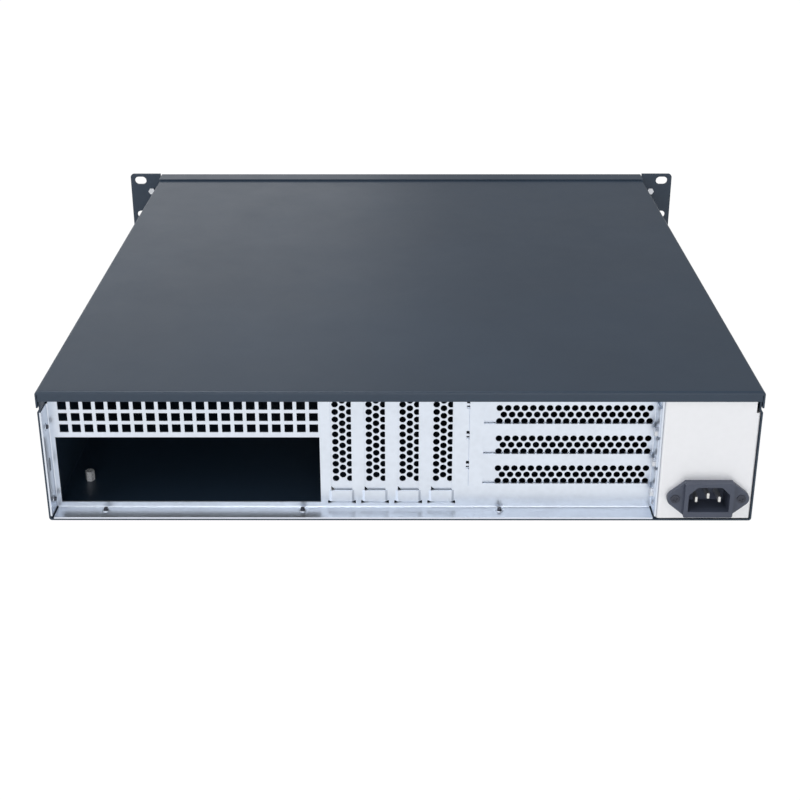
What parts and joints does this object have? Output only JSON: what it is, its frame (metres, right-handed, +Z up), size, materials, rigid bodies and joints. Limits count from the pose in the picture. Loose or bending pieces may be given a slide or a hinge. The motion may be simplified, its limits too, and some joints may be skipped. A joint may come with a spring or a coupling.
{
  "type": "rackmount server case",
  "caption": "Empty rackmount case with a sliding cover, recessed rear panel with perforated slot covers, port window, power inlet, fans and rack ears.",
  "frame": {"origin": "middle of the case's overall length and width, at the plane it stands on", "axes": "+Z up, +Y towards the rear panel, +X towards the motherboard's port side"},
  "size_m": [0.4826, 0.4922, 0.0881],
  "materials": {
    "black_paint": "fine satin powder coat",
    "galvanised_steel": "galvanised sheet",
    "plated_steel": "plain plated sheet",
    "black_plastic": "moulded, slightly matt",
    "bright_screw": "zinc plated",
    "black_screw": "blackened",
    "pin_metal": "nickel plated",
    "standoff_brass": "turned",
    "circuit_board": "solder resist",
    "light_lens": "clear diffused lens"
  },
  "bodies": {
    "case": {"base_tray": "black_paint", "control_board": "circuit_board", "control_board_posts": "bright_screw", "drive_bay_cover": "black_plastic", "drive_cage": "galvanised_steel", "fan_frame_1": "black_plastic", "fan_frame_2": "black_plastic", "fan_screws": "black_screw", "front_panel": "black_paint", "front_panel_screws": "bright_screw", "full_height_cover_screws": "bright_screw", "full_height_slot_cover_1": "galvanised_steel", "full_height_slot_cover_2": "galvanised_steel", "full_height_slot_cover_3": "galvanised_steel", "handle_screws": "bright_screw", "inlet_pins": "pin_metal", "inlet_plate": "plated_steel", "inlet_plate_screws": "bright_screw", "inlet_screws": "black_screw", "left_handle": "black_paint", "low_profile_cover_screws": "bright_screw", "low_profile_slot_cover_1": "galvanised_steel", "low_profile_slot_cover_2": "galvanised_steel", "low_profile_slot_cover_3": "galvanised_steel", "low_profile_slot_cover_4": "galvanised_steel", "motherboard_standoffs": "standoff_brass", "power_inlet": "black_plastic", "power_supply_bracket": "galvanised_steel", "power_switch": "black_plastic", "rear_panel": "galvanised_steel", "rear_panel_screws": "black_screw", "reset_switch": "black_plastic", "right_handle": "black_paint", "status_lights": "light_lens", "usb_ports": "bright_screw"},
    "cover": {"top_cover": "black_paint", "cover_screws": "black_screw", "cover_nuts": "bright_screw"},
    "fan_1": {"fan_rotor_1": "black_plastic"},
    "fan_2": {"fan_rotor_2": "black_plastic"},
    "power_key": {"power_button": "black_plastic"},
    "reset_key": {"reset_button": "black_plastic"}
  },
  "joints": [
    {"name": "cover_slide", "type": "slide", "parent": "case", "child": "cover", "axis": [0, 1, 0], "range_m": [0, 0.015]},
    {"name": "fan_1_spin", "type": "hinge", "parent": "case", "child": "fan_1", "pos_m": [0.002, -0.19, 0.0435], "axis": [0, 1, 0], "continuous": true},
    {"name": "fan_2_spin", "type": "hinge", "parent": "case", "child": "fan_2", "pos_m": [0.088, -0.19, 0.0435], "axis": [0, 1, 0], "continuous": true},
    {"name": "power_button_press", "type": "slide", "parent": "case", "child": "power_key", "axis": [0, 1, 0], "range_m": [0, 0.002], "stiffness_N_per_m": 600, "springref_m": -0.0008},
    {"name": "reset_button_press", "type": "slide", "parent": "case", "child": "reset_key", "axis": [0, 1, 0], "range_m": [0, 0.002], "stiffness_N_per_m": 600, "springref_m": -0.0008}
  ]
}
